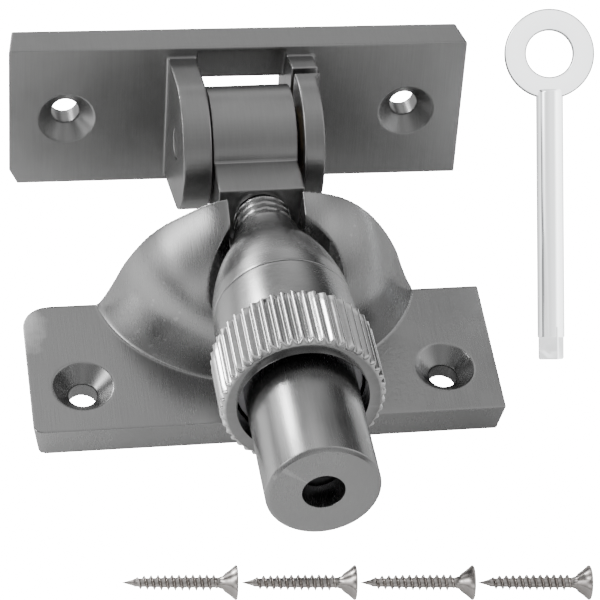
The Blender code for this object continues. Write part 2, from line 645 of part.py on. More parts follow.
# station, radius
BARREL_PROFILE = [
    (BARREL_FROM, 7.1), (BARREL_FROM + 0.3, BARREL_RADIUS),
    (BARREL_GROOVE_FROM, BARREL_RADIUS), (BARREL_GROOVE_FROM, BARREL_GROOVE_RADIUS),
    (BARREL_GROOVE_TO, BARREL_GROOVE_RADIUS), (BARREL_GROOVE_TO, BARREL_RADIUS),
    (BARREL_TO - 0.75, BARREL_RADIUS), (BARREL_TO - 0.3, BARREL_RADIUS - 0.14),
    (BARREL_TO - 0.06, BARREL_RADIUS - 0.42), (BARREL_TO, BARREL_RADIUS - 0.72),
    (BARREL_TO, KEYHOLE_RADIUS + 0.15), (BARREL_TO - 0.15, KEYHOLE_RADIUS),
    (BARREL_FLOOR, KEYHOLE_RADIUS), (BARREL_FLOOR, BARREL_BORE), (BARREL_FROM, BARREL_BORE),
]


def make_barrel(material):
    skin = lathe(KNOB, BARREL_PROFILE, 56, wrap=True)
    smooth_object("lock_barrel", skin, material, KNOB.origin)


# ---- split spring rings

def make_split_ring(name, material, stations, radii, gap_degrees, steps=36):
    """Bar of rectangular section bent round the knob axis, open at the top."""
    section = rectangle(*stations, *radii)
    rings = []
    for i in range(steps + 1):
        angle = math.radians(90 + gap_degrees / 2 + (360 - gap_degrees) * i / steps)
        rings.append([KNOB.at(*polar(radius, angle), station) for station, radius in section])
    smooth_object(name, loft(rings), material, KNOB.origin)


# ---- lock screw inside the barrel, with a square socket

LOCK_SCREW_STATION = 34  # of the object's origin
LOCK_SCREW_PROFILE = [  # station, radius
    (30.3, 0.0), (30.3, 3.9), (30.6, 4.25), (37.9, 4.25), (38.25, 3.9), (38.25, 0.0),
]
SOCKET_SIDE, SOCKET_FLOOR = 3.4, 32.6


def make_lock_screw(material):
    skin = lathe(KNOB, LOCK_SCREW_PROFILE, 32)
    screw = new_object("lock_screw", skin, material, origin=KNOB.at(0, 0, LOCK_SCREW_STATION))
    half = SOCKET_SIDE / 2
    square = prism(KNOB, rectangle(-half, half, -half, half), SOCKET_FLOOR, 42.0)
    combine(screw, [helper("square", square)], "DIFFERENCE")
    smooth(screw)


# ---- key: square tip at the low end, bow at the high end

KEY_LENGTH, BOW_RADIUS, BOW_HOLE_RADIUS, BOW_THICKNESS = 50.6, 6.47, 3.38, 1.9
BOW_BEVEL, BOW_SEGMENTS = 0.25, 56
SHANK_RADIUS, SHANK_INTO_BOW, SLOT_GAP = 1.95, 1.3, 0.06
TIP_SIDE, TIP_LENGTH, TIP_CORNER, TIP_OVERLAP = 3.0, 3.2, 0.25, 1.5
TIP_TURN = math.radians(22.0)
KEY_TIP = (42.39, -0.53, 1.35)
KEY_ALONG = (0.0421, 0.7540, 0.6555)  # from the tip to the bow
KEY_FACE = (-0.1605, -0.6425, 0.7493)  # the bow's flat side looks this way

key_along = np.array(KEY_ALONG) / np.linalg.norm(KEY_ALONG)
key_out = np.array(KEY_FACE) - key_along * float(np.dot(KEY_FACE, key_along))
key_out /= np.linalg.norm(key_out)
key_across = np.cross(key_along, key_out)
BOW_CENTRE = KEY_LENGTH - BOW_RADIUS  # from the tip
BOW = Frame(KEY_TIP, key_across, key_along, key_out).moved(0, BOW_CENTRE, 0)
SHANK = Frame(KEY_TIP, key_out, key_across, key_along)


def make_bow(material):
    half, bevel = BOW_THICKNESS / 2, BOW_BEVEL
    profile = [
        (-half, BOW_HOLE_RADIUS + bevel), (-half, BOW_RADIUS - bevel),
        (-half + bevel, BOW_RADIUS), (half - bevel, BOW_RADIUS),
        (half, BOW_RADIUS - bevel), (half, BOW_HOLE_RADIUS + bevel),
        (half - bevel, BOW_HOLE_RADIUS), (-half + bevel, BOW_HOLE_RADIUS),
    ]
    smooth_object("key_bow", lathe(BOW, profile, BOW_SEGMENTS, wrap=True), material, BOW.origin)


def tip_outline(scale):
    """Square with cut corners, turned about the shank."""
    h, c = TIP_SIDE / 2 * scale, TIP_CORNER
    corners = [
        (-h + c, -h), (h - c, -h), (h, -h + c), (h, h - c),
        (h - c, h), (-h + c, h), (-h, h - c), (-h, -h + c),
    ]
    sin, cos = math.sin(TIP_TURN), math.cos(TIP_TURN)
    return [(x * sin + y * cos, x * cos - y * sin) for x, y in corners]


def make_shank(material):
    end = BOW_CENTRE - BOW_RADIUS + SHANK_INTO_BOW
    rod = chamfered_rod(SHANK, TIP_LENGTH, end, SHANK_RADIUS, 0.2, 0.3, segments=32)
    shank = new_object("key_shank", rod, material, origin=SHANK.at(0, 0, TIP_LENGTH))
    levels = [(0.0, 0.9), (0.25, 1.0), (TIP_LENGTH + TIP_OVERLAP, 1.0)]  # distance, scale
    tip = stack(SHANK, [(distance, tip_outline(scale)) for distance, scale in levels])
    combine(shank, [helper("tip", tip)], "UNION")
    # the shank's far end is slotted over the bow's rim
    reach = BOW_THICKNESS / 2 + SLOT_GAP
    slot = cylinder(BOW, -reach, reach, BOW_RADIUS + SLOT_GAP, BOW_SEGMENTS)
    combine(shank, [helper("slot", slot)], "DIFFERENCE")
    smooth(shank)


# ---- countersunk wood screws: on their sides in one row, heads towards +X

SCREW_COUNT, SCREW_LENGTH, SCREW_HEAD_RADIUS = 4, 15.3, 2.35
SCREW_CREST, SCREW_CORE, SCREW_PITCH, SCREW_TURNS = 1.12, 0.78, 0.93, 12
SCREW_THREAD_START = 2.5
SCREW_ROW_X, SCREW_ROW_Y, SCREW_STEP = 39.5, -40.5, 15.95  # head of the last screw, spacing
SCREW_TURN = math.radians(-4.5)
# distance from the head's face, radius
SCREW_HEAD = [
    (0.0, SCREW_HEAD_RADIUS - 0.1), (0.12, SCREW_HEAD_RADIUS), (0.25, SCREW_HEAD_RADIUS),
    (1.75, SCREW_CREST), (2.0, SCREW_CORE + 0.16), (2.3, SCREW_CORE + 0.1),
]
RECESS_HALF_LENGTH, RECESS_HALF_WIDTH = 1.15, 0.26
RECESS_LEVELS = [(-0.5, 1.1), (1.0, 0.6)]  # distance from the head's face, scale


def recess_outline(scale):
    length, width = RECESS_HALF_LENGTH * scale, RECESS_HALF_WIDTH * scale
    return rectangle(-length, length, -width, width)


def make_screw(material, number):
    row = np.array([math.cos(SCREW_TURN), math.sin(SCREW_TURN), 0.0])
    side = np.array([-math.sin(SCREW_TURN), math.cos(SCREW_TURN), 0.0])
    last_head = np.array([SCREW_ROW_X, SCREW_ROW_Y, SCREW_HEAD_RADIUS])
    head = last_head - row * SCREW_STEP * (SCREW_COUNT - number)
    frame = Frame(head, Z_DIR, side, -row)
    thread_end = SCREW_THREAD_START + SCREW_TURNS * SCREW_PITCH
    point = [(thread_end + 0.25, SCREW_CORE * 0.6), (SCREW_LENGTH, 0.05)]
    skin = threaded(frame, SCREW_THREAD_START, SCREW_TURNS, SCREW_PITCH, SCREW_CREST, SCREW_CORE,
                    segments=10, before=SCREW_HEAD, after=point, taper=0.3)
    screw = new_object(f"wood_screw_{number}", skin, material, frame.at(0, 0, SCREW_LENGTH / 2))
    sections = [(distance, recess_outline(scale)) for distance, scale in RECESS_LEVELS]
    arms = []
    for along, across in ((side, Z_DIR), (Z_DIR, side)):
        arms.append(helper("arm", stack(Frame(head, along, across, -row), sections)))
    combine(screw, arms, "DIFFERENCE")
    smooth(screw, 50)


def main():
    clear_scene()
    metals = {}
    for name, (colour, roughness) in FINISHES.items():
        metals[name] = metal(name, colour=colour, roughness=roughness)
    make_keeper(metals["satin_nickel_plate"])
    make_bracket(metals["satin_nickel_bracket"])
    make_hinge_pin(metals["plain_steel_pin"])
    make_washer(metals["brass_washer"])
    make_cross_pin(metals["plain_steel_pin"])
    make_arm(metals["satin_nickel_arm"])
    make_stud(metals["cut_thread_steel"])
    make_nose(metals["polished_nickel_nose"])
    make_split_ring("nose_snap_ring", metals["spring_steel_snap"],
                    stations=(4.52, 5.08), radii=(5.65, 6.75), gap_degrees=50)
    make_body(metals["polished_nickel_body"])
    make_ring(metals["knurled_nickel"])
    make_barrel(metals["satin_nickel_barrel"])
    make_split_ring("barrel_circlip", metals["spring_steel_ring"],
                    stations=(21.9, 22.6), radii=(7.1, 8.35), gap_degrees=46)
    make_lock_screw(metals["dark_lock_steel"])
    make_bow(metals["bright_chrome_bow"])
    make_shank(metals["bright_chrome_shank"])
    for number in range(1, SCREW_COUNT + 1):
        make_screw(metals["stainless_screw"], number)


main()
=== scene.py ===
"""A swing-arm fastener in plated metal, with its key and four wood screws.

The keeper plate lies flat on z = 0, long in X. Behind it (+Y) stands the hinge bracket, leaning
back. An arm on the bracket's pin carries a threaded stud forward (-Y) and slightly up through
the keeper's cup, and the knob runs on that stud. The key is to the right, the screws in front.
Sizes are in millimetres; meshes end up in metres. A station is a distance along a turning axis.
"""
import math

import bmesh
import bpy
import numpy as np
from mathutils import Matrix


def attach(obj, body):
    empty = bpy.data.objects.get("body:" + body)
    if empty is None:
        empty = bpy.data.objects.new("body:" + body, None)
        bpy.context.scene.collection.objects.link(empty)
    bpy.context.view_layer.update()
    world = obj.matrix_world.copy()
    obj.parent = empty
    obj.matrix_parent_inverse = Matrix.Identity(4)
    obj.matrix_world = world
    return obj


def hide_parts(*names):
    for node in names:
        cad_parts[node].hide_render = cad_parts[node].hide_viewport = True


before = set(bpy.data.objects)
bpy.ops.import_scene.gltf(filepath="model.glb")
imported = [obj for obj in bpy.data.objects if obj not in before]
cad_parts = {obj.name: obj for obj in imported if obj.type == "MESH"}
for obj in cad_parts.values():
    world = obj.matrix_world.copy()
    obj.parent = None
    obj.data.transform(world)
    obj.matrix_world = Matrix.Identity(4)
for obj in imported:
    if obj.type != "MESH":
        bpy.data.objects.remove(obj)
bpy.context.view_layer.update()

MM = 0.001
ON_AXIS = 0.0001  # radius that closes a turned profile on its axis
CORNER_STEPS = 3  # pieces in a softened corner

# ------------------------------------------------------------------ driving dimensions
AXIS_X, AXIS_Z, AXIS_TILT = 0.2, 22.37, math.radians(8.3)
PIN_Y, PIN_Z = 27.2, 20.43  # hinge pin, parallel to X
PIN_BORE_R = 2.29
ARM_HALF = 6.0
EAR_INNER_X = 7.0  # inner face of the right ear

KEEPER_T = 4.64
KEEPER_HALF_D = 11.4
HOOD_Y, HOOD_R = 15.5, 21.45
HOOD_BASE = KEEPER_T - 1.0  # the hood keeps its plain width below this
CUP_R, CUP_SHIFT, CUP_SLOT_R = 11.5, 1.1, 5.15
PLATE_INSET = 0.8  # both plates are shorter at their base by this much at each end

BRACKET_LEAN = math.radians(12.0)
BRACKET_SHIFT = 0.3
PIN_OUT, PIN_UP = 9.8, 13.0  # pin from the bracket's face and lower edge


# ------------------------------------------------------------------ axes
def make_axes(origin, x_way, y_way, z_way):
    return tuple(np.array(v, float) for v in (origin, x_way, y_way, z_way))


def along_x(origin):
    """Axes whose stations run along X."""
    return make_axes(origin, (0, 1, 0), (0, 0, 1), (1, 0, 0))


def unit(v):
    return v / np.linalg.norm(v)


def place(axes, point):
    return axes[0] + axes[1] * point[0] + axes[2] * point[1] + axes[3] * point[2]


def to_row(axes):
    """4x4 matrix from millimetres in some axes to the row frame's metres."""
    rows = [[axes[col][row] * MM for col in (1, 2, 3, 0)] for row in range(3)]
    return Matrix((*rows, (0, 0, 0, 1)))


WORLD = make_axes((0, 0, 0), (1, 0, 0), (0, 1, 0), (0, 0, 1))
KNOB_OUT = np.array([0.0, -math.cos(AXIS_TILT), math.sin(AXIS_TILT)])
KNOB_UP = np.array([0.0, math.sin(AXIS_TILT), math.cos(AXIS_TILT)])
KNOB = make_axes((AXIS_X, 0, AXIS_Z), (1, 0, 0), KNOB_UP, KNOB_OUT)
BRACKET_UP = np.array([0.0, math.sin(BRACKET_LEAN), math.cos(BRACKET_LEAN)])
BRACKET_OUT = np.array([0.0, -math.cos(BRACKET_LEAN), math.sin(BRACKET_LEAN)])
BRACKET_AT = np.array([0.0, PIN_Y, PIN_Z]) - PIN_OUT * BRACKET_OUT - PIN_UP * BRACKET_UP
BRACKET = make_axes(BRACKET_AT, (1, 0, 0), BRACKET_UP, BRACKET_OUT)
PIN = along_x((0, PIN_Y, PIN_Z))

# the key points up and back from its tip; its flat face looks forward and up
KEY_ALONG = unit(np.array((0.0421, 0.7540, 0.6555)))
KEY_FACE = np.array((-0.1605, -0.6425, 0.7493))
KEY_FACE = unit(KEY_FACE - KEY_ALONG * float(KEY_FACE @ KEY_ALONG))
KEY_SIDE = np.cross(KEY_ALONG, KEY_FACE)


# ------------------------------------------------------------------ shapes: (points, faces)
def loft(rings, wrap=False):
    """Skin over equal rings; wrap joins the last to the first instead of capping both."""
    n = len(rings[0])
    points = [p for ring in rings for p in ring]
    faces = []
    for i in range(len(rings) if wrap else len(rings) - 1):
        a, b = i * n, ((i + 1) % len(rings)) * n
        for j in range(n):
            k = (j + 1) % n
            faces.append((a + j, a + k, b + k, b + j))
    if not wrap:
        faces.append(tuple(range(n - 1, -1, -1)))
        faces.append(tuple(range((len(rings) - 1) * n, len(rings) * n)))
    return points, faces


def circle(axes, station, radius, seg):
    """A ring of points; radius is a number or a function of the point's index."""
    ring = []
    for j in range(seg):
        angle = 2 * math.pi * j / seg
        r = radius(j) if callable(radius) else radius
        ring.append(place(axes, (r * math.cos(angle), r * math.sin(angle), station)))
    return ring


def lathe(axes, profile, seg, wrap=False):
    return loft([circle(axes, station, r, seg) for station, r in profile], wrap)


def bar(start, end, radius):
    """Profile of a plain solid cylinder."""
    return [(start, ON_AXIS), (start, radius), (end, radius), (end, ON_AXIS)]


# which of (first, second, end) gives x, y and z in a prism
ALONG_X, ALONG_Y, ALONG_Z = (2, 1, 0), (1, 2, 0), (0, 1, 2)


def prism(outline, ends, order=ALONG_Z):
    return loft([[tuple((a, b, end)[i] for i in order) for a, b in outline] for end in ends])


def bezier(start, knee, end, t):
    return tuple((1 - t) ** 2 * a + 2 * t * (1 - t) * b + t * t * c
                 for a, b, c in zip(start, knee, end))


def soften(profile, radius=0.12, closed=False):
    """Each corner becomes a small arc. Entries: station, radius, own corner radius if any."""
    points = [np.array(p[:2], float) for p in profile]
    corner = [p[2] if len(p) > 2 else radius for p in profile]
    out = []
    n = len(points)
    for i, p in enumerate(points):
        back, ahead = points[i - 1] - p, points[(i + 1) % n] - p
        back_len, ahead_len = np.linalg.norm(back), np.linalg.norm(ahead)
        if (not closed and i in (0, n - 1)) or min(back_len, ahead_len) < 1e-6:
            out.append(tuple(p))
            continue
        back, ahead = back / back_len, ahead / ahead_len
        angle = math.acos(max(-1, min(1, float(back @ ahead))))
        if angle > math.radians(172) or corner[i] <= 0:
            out.append(tuple(p))
            continue
        cut = min(corner[i] / math.tan(angle / 2), 0.45 * back_len, 0.45 * ahead_len)
        for k in range(CORNER_STEPS + 1):
            out.append(bezier(p + back * cut, p, p + ahead * cut, k / CORNER_STEPS))
    return out


def rounded_rect(x0, x1, y0, y1, radii, seg=8):
    """Outline with corner radii in the order front left, front right, back right, back left."""
    corners = [(x0, y0, 1, 1, math.pi), (x1, y0, -1, 1, 1.5 * math.pi),
               (x1, y1, -1, -1, 0.0), (x0, y1, 1, -1, 0.5 * math.pi)]
    out = []
    for (x, y, dx, dy, first), r in zip(corners, radii):
        r = max(r, 0.05)
        for i in range(seg + 1):
            angle = first + 0.5 * math.pi * i / seg
            out.append((x + dx * r + r * math.cos(angle), y + dy * r + r * math.sin(angle)))
    return out


# ------------------------------------------------------------------ objects
def link(obj):
    bpy.context.scene.collection.objects.link(obj)
    return obj


def mesh_object(name, shape, scale=1.0):
    points, faces = shape
    mesh = bpy.data.meshes.new(name)
    mesh.from_pydata([tuple(float(c) * scale for c in p) for p in points], [], faces)
    bm = bmesh.new()
    bm.from_mesh(mesh)
    bmesh.ops.recalc_face_normals(bm, faces=bm.faces)
    if bm.calc_volume(signed=True) < 0:
        bmesh.ops.reverse_faces(bm, faces=bm.faces)
    bm.to_mesh(mesh)
    bm.free()
    return link(bpy.data.objects.new(name, mesh))


def cutter(shape, scale=1.0):
    return mesh_object("cutter", shape, scale)


def bake(obj):
    """Replace the mesh by its modified result."""
    bpy.context.view_layer.update()
    graph = bpy.context.evaluated_depsgraph_get()
    mesh = bpy.data.meshes.new_from_object(obj.evaluated_get(graph))
    obj.modifiers.clear()
    old = obj.data
    obj.data = mesh
    bpy.data.meshes.remove(old)


def combine(target, others, operation):
    for other in others:
        modifier = target.modifiers.new("combine", "BOOLEAN")
        modifier.operation, modifier.solver, modifier.object = operation, "EXACT", other
    bake(target)
    for other in others:
        bpy.data.objects.remove(other, do_unlink=True)


def recast(obj, voxel, smooth_steps):
    """The piece as a casting: one even skin with every edge slightly rounded."""
    remesh = obj.modifiers.new("remesh", "REMESH")
    remesh.mode, remesh.adaptivity = "VOXEL", 0.0
    remesh.voxel_size = voxel
    smooth = obj.modifiers.new("smooth", "SMOOTH")
    smooth.factor, smooth.iterations = 0.5, smooth_steps
    bake(obj)
    for poly in obj.data.polygons:
        poly.use_smooth = True


def shade(obj, angle):
    for poly in obj.data.polygons:
        poly.use_smooth = True
    obj.data.set_sharp_from_angle(angle=math.radians(angle))


def settle(obj, axes):
    """Take a piece modelled in its own axes to the row frame."""
    obj.data.transform(to_row(axes))
    obj.data.update()


def finish(obj, part):
    """part: (body it rides on, CAD node it replaces, slot, which is not used, material)."""
    body, node, slot, material = part
    obj.data.materials.clear()
    obj.data.materials.append(material)
    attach(obj, body)
    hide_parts(node)
    return obj


def turned(name, axes, profile, part, seg=128, wrap=True, radius=0.12):
    shape = lathe(axes, soften(profile, radius, closed=wrap), seg, wrap)
    obj = mesh_object(name, shape, MM)
    shade(obj, 38)
    finish(obj, part)


def stud_thread_form(phase):
    return min(1.0, max(0.0, 1.9 * (0.5 - 0.5 * math.cos(2 * math.pi * phase)) - 0.35))


def threaded(name, axes, lead_in, start, end, lead_out, part, pitch, crest, root, seg, rows,
             taper=0.0, form=stud_thread_form):
    """A turned body with a helical thread; rows is rings per turn, form its height by phase."""
    turns = (end - start) / pitch
    rings = [circle(axes, station, r, seg) for station, r in lead_in]
    for i in range(int(round(turns * rows)) + 1):
        turn = i / rows
        station = start + pitch * turn
        fade = max(0.0, min(1.0, turn / 0.7, (turns - turn) / 0.7))
        share = max(0.0, min(1.0, (station - start) / (end - start)))
        shrink = 1.0 - taper * share**3

        def radius(j):
            return (root + (crest - root) * fade * form((turn - j / seg) % 1.0)) * shrink

        rings.append(circle(axes, station, radius, seg))
    rings += [circle(axes, station, r, seg) for station, r in lead_out]
    obj = mesh_object(name, loft(rings), MM)
    shade(obj, 60)
    return finish(obj, part)


# ------------------------------------------------------------------ shader building
class Shader:
    """Short ways to add nodes to a node tree; every value may be a number or a socket."""

    def __init__(self, tree):
        self.tree = tree

    def node(self, kind):
        return self.tree.nodes.new("ShaderNode" + kind)

    def put(self, socket, value):
        if isinstance(value, bpy.types.NodeSocket):
            self.tree.links.new(value, socket)
        else:
            socket.default_value = value

    def math(self, operation, a, b=0.0, clamp=False):
        n = self.node("Math")
        n.operation, n.use_clamp = operation, clamp
        self.put(n.inputs[0], a)
        self.put(n.inputs[1], b)
        return n.outputs[0]

    def add(self, a, b, clamp=False):
        return self.math("ADD", a, b, clamp)

    def times(self, a, b):
        return self.math("MULTIPLY", a, b)

    def spread(self, fac, amount):
        """A 0..1 value as a variation about zero."""
        return self.times(self.math("SUBTRACT", fac, 0.5), amount)

    def to_share(self, value):
        """-1..1 becomes 0..1."""
        return self.add(self.times(value, 0.5), 0.5)

    def vector(self, operation, a, b=None, scale=None):
        n = self.node("VectorMath")
        n.operation = operation
        for socket, value in zip(n.inputs, (a, b)):
            if value is not None:
                is_socket = isinstance(value, bpy.types.NodeSocket)
                self.put(socket, value if is_socket else tuple(value))
        if scale is not None:
            self.put(n.inputs["Scale"], scale)
        is_number = operation in ("DOT_PRODUCT", "LENGTH", "DISTANCE")
        return n.outputs["Value" if is_number else "Vector"]

    def here(self, kind="Object"):
        return self.node("TexCoord").outputs[kind]

    def noise(self, scale, detail=2.0, roughness=0.5):
        """scale: cells per metre along x, y and z."""
        mapping = self.node("Mapping")
        mapping.inputs["Scale"].default_value = scale
        self.put(mapping.inputs["Vector"], self.here())
        n = self.node("TexNoise")
        n.inputs["Scale"].default_value = 1.0
        n.inputs["Detail"].default_value = detail
        n.inputs["Roughness"].default_value = roughness
        self.put(n.inputs["Vector"], mapping.outputs[0])
        return n.outputs["Fac"]

    def ramp(self, fac, stops):
        """stops: (position, grey value)."""
        n = self.node("ValToRGB")
        self.put(n.inputs[0], fac)
        elements = n.color_ramp.elements
        while len(elements) < len(stops):
            elements.new(0.5)
        for element, (position, value) in zip(elements, stops):
            element.position = position
            element.color = (value, value, value, 1.0)
        return n.outputs[0]

    def bump(self, height, strength, distance, normal=None):
        n = self.node("Bump")
        n.inputs["Strength"].default_value = strength
        n.inputs["Distance"].default_value = distance
        self.put(n.inputs["Height"], height)
        if normal is not None:
            self.put(n.inputs["Normal"], normal)
        return n.outputs[0]


def new_material(name):
    mat = bpy.data.materials.new(name)
    mat.use_nodes = True
    return mat, Shader(mat.node_tree), mat.node_tree.nodes["Principled BSDF"].inputs


def grey(value):
    return (value,) * 3


def metal(name, colour, rough, brush=(7000.0, 160.0, 160.0), brush_bump=0.25, rough_var=0.10,
          colour_var=0.10, grain=0.08, edge_brightening=0.25, hollow_shade=0.0, casting=None, painted_light=None):
    """Plated metal: polishing lines, broad tone changes, fine grain, brighter edges and, where
    asked, painted light and shade.

    brush: noise scale of the polishing lines; edge_brightening: how much lighter convex edges are;
    hollow_shade: painted shade darkening the hollows; casting: gives (mask, lumps) of unpolished
    skin; painted_light: gives a tone factor of painted light and shade.
    """
    mat, sh, surface = new_material(name)
    surface["Metallic"].default_value = 1.0
    lines = sh.noise(brush, detail=3.0, roughness=0.6)
    broad = sh.noise(grey(160.0))
    fine = sh.noise(grey(9000.0))
    pointiness = sh.node("NewGeometry").outputs["Pointiness"]
    edge = sh.ramp(pointiness, [(0.525, 0.0), (0.59, 1.0)])
    tone = sh.add(sh.spread(lines, colour_var * 2), sh.spread(broad, colour_var * 2))
    tone = sh.add(tone, sh.times(edge, edge_brightening))
    tone = sh.add(tone, 1.0)
    # painted shade: the hollows are darkened
    if hollow_shade:
        tone = sh.times(tone, sh.ramp(pointiness, [(0.40, 1.0 - hollow_shade), (0.50, 1.0)]))
    # painted light and shade, given by the caller
    if painted_light is not None:
        tone = sh.times(tone, painted_light(sh))
    sh.put(surface["Base Color"], sh.vector("SCALE", colour, scale=tone))
    roughness = sh.add(rough, sh.spread(lines, rough_var))
    roughness = sh.add(roughness, sh.spread(broad, rough_var * 1.4), clamp=True)
    normal = sh.bump(lines, strength=brush_bump, distance=0.00004)
    normal = sh.bump(fine, strength=grain, distance=0.00003, normal=normal)
    if casting is not None:
        mask, lumps = casting(sh)
        normal = sh.bump(sh.times(lumps, mask), strength=0.9, distance=0.00035, normal=normal)
        roughness = sh.add(roughness, sh.times(mask, 0.16), clamp=True)
    sh.put(surface["Roughness"], roughness)
    sh.put(surface["Normal"], normal)
    return mat


# ------------------------------------------------------------------ masks
def off_knob_axis(sh, here, shift=0.0, station=None):
    """(vector out from the knob's axis, station along it), in metres; shift moves it in x."""
    away = sh.vector("SUBTRACT", here, ((AXIS_X + shift) * MM, 0.0, AXIS_Z * MM))
    if station is None:
        station = sh.vector("DOT_PRODUCT", away, KNOB_OUT)
    foot = sh.vector("SCALE", KNOB_OUT, scale=station)
    return sh.vector("SUBTRACT", away, foot), station


def ellipsoid(sh, here, centre, radii):
    """Distance from a centre, 1 on the ellipsoid's surface."""
    away = sh.vector("SUBTRACT", here, np.array(centre) * MM)
    return sh.vector("LENGTH", sh.vector("MULTIPLY", away, 1 / (np.array(radii) * MM)))


def cast_skin(sh):
    """Unpolished casting inside the cup and in a faint patch on the plate beside the hood."""
    away, station = off_knob_axis(sh, sh.here(), CUP_SHIFT)
    radial = sh.vector("LENGTH", away)
    inside = sh.times(sh.math("LESS_THAN", radial, (CUP_R + 0.12) * MM),
                      sh.math("GREATER_THAN", station, -5.2 * MM))
    # the hood's outside turns away from the knob's axis, the cup looks at it
    here = sh.here()
    away, _ = off_knob_axis(sh, here, CUP_SHIFT, station)
    normal = sh.node("NewGeometry").outputs["True Normal"]
    facing = sh.vector("DOT_PRODUCT", sh.vector("NORMALIZE", away), normal)
    inside = sh.times(inside, sh.ramp(sh.to_share(facing), [(0.42, 1.0), (0.55, 0.0)]))
    patch = ellipsoid(sh, here, centre=(18.0, -5.0, 4.6), radii=(8.5, 11.0, 3.0))
    patch = sh.ramp(patch, [(0.5, 1.0), (0.75, 0.0)])
    lumps = sh.noise(grey(1500.0), detail=4.0, roughness=0.65)
    return sh.math("MAXIMUM", inside, sh.times(patch, 0.35)), lumps


def painted_ring_shade(sh):
    """Painted shade: the ring's end faces and bore are darker than its ribs."""
    away, _ = off_knob_axis(sh, sh.here())
    ramp_share = sh.times(sh.vector("LENGTH", away), 50.0)  # the ramp spans 20 mm of radius
    return sh.ramp(ramp_share, [(0.505, 0.42), (0.522, 1.0)])


def painted_corner_highlight(sh):
    """Painted highlight: the keeper's rear left corner is lightened."""
    far = ellipsoid(sh, sh.here(), centre=(-33.4, 8.8, 4.2), radii=(3.2, 6.0, 3.0))
    far = sh.add(far, sh.times(sh.noise(grey(500.0), detail=3.0), 0.8))
    return sh.times(sh.ramp(sh.times(far, 0.5), [(0.2, 1.0), (0.75, 0.36)]), 2.8)


def turned_away(sh):
    """0 where the surface faces the viewer, 1 at grazing angles."""
    weight = sh.node("LayerWeight")
    weight.inputs["Blend"].default_value = 0.5
    return weight.outputs["Facing"]


def sideways(sh):
    """0 where the surface faces the key's left, 1 where it faces its right."""
    return sh.to_share(sh.vector("DOT_PRODUCT", sh.here("Normal"), KEY_SIDE))


def chrome(name, across, painted_reflections):
    """Mirror chrome in a white tent, with painted reflections: the surface glows in bands that
    stand for the tent's panels and the gaps between.

    across gives the place over the surface, painted_reflections the (place, brightness) of the
    glowing bands.
    """
    # painted shade: the chrome darkens towards grazing angles
    mat = metal(name, colour=(0.84, 0.86, 0.88), rough=0.10, brush_bump=0.03, rough_var=0.04,
                colour_var=0.02, grain=0.01, edge_brightening=0.0,
                painted_light=lambda sh: sh.ramp(turned_away(sh), [(0.12, 1.0), (0.32, 0.25)]))
    sh = Shader(mat.node_tree)
    surface = mat.node_tree.nodes["Principled BSDF"].inputs
    peak = 5.0  # ramp values stop at 1, so the bands are stored as shares of this
    glow = sh.ramp(across(sh), [(position, value / peak) for position, value in painted_reflections])
    surface["Emission Color"].default_value = (0.975, 0.99, 1.0, 1)
    sh.put(surface["Emission Strength"], sh.times(glow, peak))
    return mat


# ------------------------------------------------------------------ materials
LATHE_BRUSH = (900.0, 3500.0, 900.0)
# the keeper carries a painted highlight on its rear left corner
M_KEEPER = metal("visual_keeper", colour=grey(0.32), rough=0.27, brush=(5200.0, 180.0, 900.0),
                 casting=cast_skin, painted_light=painted_corner_highlight)
M_BRACKET = metal("visual_bracket", colour=grey(0.31), rough=0.34, brush=(5200.0, 220.0, 160.0))
M_ARM = metal("visual_arm", colour=grey(0.32), rough=0.33, brush=(5200.0, 300.0, 300.0))
M_NOSE = metal("visual_nose", colour=grey(0.38), rough=0.25, brush=LATHE_BRUSH, brush_bump=0.12)
M_BODY = metal("visual_body", colour=grey(0.39), rough=0.25, brush=LATHE_BRUSH, brush_bump=0.12)
# the ring carries painted shade in its hollows, on its end faces and in its bore
M_RING = metal("visual_ring", colour=grey(0.62), rough=0.17, brush=LATHE_BRUSH, brush_bump=0.10,
               edge_brightening=0.5, hollow_shade=0.35, painted_light=painted_ring_shade)
M_BARREL = metal("visual_barrel", colour=grey(0.36), rough=0.255, brush=(5200.0, 120.0, 900.0),
                 brush_bump=0.12)
M_STUD = metal("visual_stud", colour=grey(0.38), rough=0.28, edge_brightening=0.4)
M_PIN = metal("visual_pin", colour=grey(0.30), rough=0.38)
M_LOCK = metal("visual_lock", colour=(0.16, 0.16, 0.165), rough=0.45)
M_SPRING = metal("visual_spring", colour=(0.25, 0.25, 0.26), rough=0.38)
M_WASHER = metal("visual_washer", colour=(0.62, 0.48, 0.27), rough=0.35)
# the key's glowing bands are painted reflections
M_BOW = chrome("visual_key_bow", turned_away,
               painted_reflections=[(0.0, 2.6), (0.1, 2.4), (0.2, 0.5), (0.45, 0.1), (1.0, 0.0)])
M_SHANK = chrome("visual_key_shank", sideways,
                 painted_reflections=[(0.0, 0.6), (0.08, 1.7), (0.13, 2.3), (0.15, 0.25), (0.205, 0.3),
                        (0.245, 1.5), (0.45, 1.4), (0.62, 1.8), (0.72, 4.3), (0.9, 3.8),
                        (1.0, 1.0)])
# the screws carry painted shade in their hollows
M_SCREW = metal("visual_screw", colour=(0.50, 0.47, 0.45), rough=0.20, edge_brightening=0.6, hollow_shade=0.75)


# ------------------------------------------------------------------ plates
def plate(name, x0, x1, y0, y1, radii, base, top):
    rings = []
    for z, inset in ((base, PLATE_INSET), (top, 0.0)):
        shrunk = [r - 0.6 * inset for r in radii]
        outline = rounded_rect(x0 + inset, x1 - inset, y0, y1, shrunk)
        rings.append([(x, y, z) for x, y in outline])
    return mesh_object(name, loft(rings))


